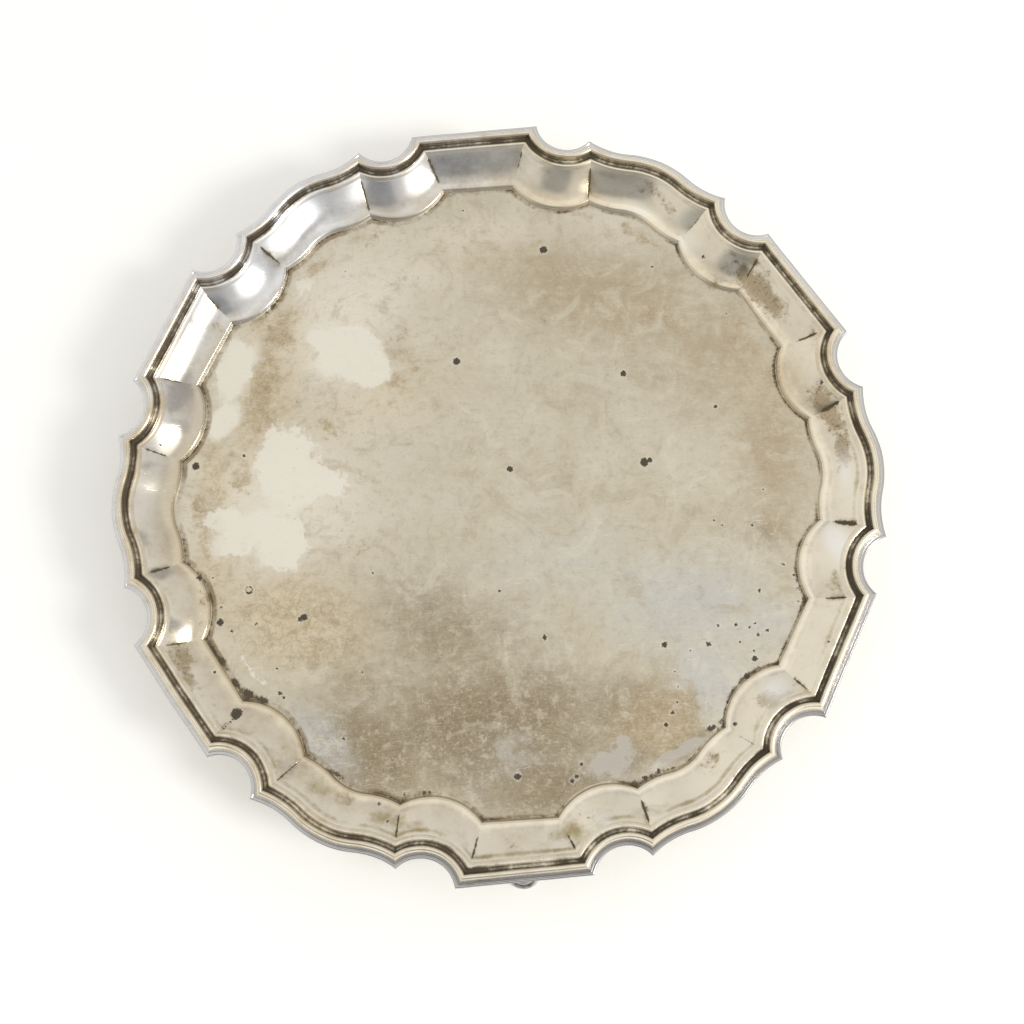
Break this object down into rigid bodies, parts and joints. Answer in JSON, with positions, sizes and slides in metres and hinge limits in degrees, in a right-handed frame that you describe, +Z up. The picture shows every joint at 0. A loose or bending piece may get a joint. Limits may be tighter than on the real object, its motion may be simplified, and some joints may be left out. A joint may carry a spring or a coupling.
{
  "type": "salver",
  "caption": "Round silver salver: flat well, stepped and coved border, shaped moulded rim in mitred lengths, raised on curved pad feet.",
  "frame": {"origin": "on the ground plane, under the middle of the well", "axes": "+Z up; the front foot and the straight above it face -Y; +X to the right"},
  "size_m": [0.2034, 0.2053, 0.0256],
  "materials": {
    "plate_silver": "worn satin silver with a warm tarnish, fine scratches and a few dark pits",
    "rim_silver": "polished silver on the raised lines, brown-black tarnish in the hollows",
    "foot_silver": "soft worn cast silver"
  },
  "bodies": {
    "root": {"plate": "plate_silver", "rim_straight_1": "rim_silver", "rim_straight_2": "rim_silver", "rim_straight_3": "rim_silver", "rim_straight_4": "rim_silver", "rim_straight_5": "rim_silver", "rim_straight_6": "rim_silver", "rim_notch_1": "rim_silver", "rim_notch_2": "rim_silver", "rim_notch_3": "rim_silver", "rim_notch_4": "rim_silver", "rim_notch_5": "rim_silver", "rim_notch_6": "rim_silver", "rim_notch_7": "rim_silver", "rim_notch_8": "rim_silver", "rim_notch_9": "rim_silver", "rim_notch_10": "rim_silver", "rim_notch_11": "rim_silver", "rim_notch_12": "rim_silver", "rim_bracket_1": "rim_silver", "rim_bracket_2": "rim_silver", "rim_bracket_3": "rim_silver", "rim_bracket_4": "rim_silver", "rim_bracket_5": "rim_silver", "rim_bracket_6": "rim_silver", "foot_front": "foot_silver", "foot_right": "foot_silver", "foot_left": "foot_silver"}
  },
  "joints": []
}
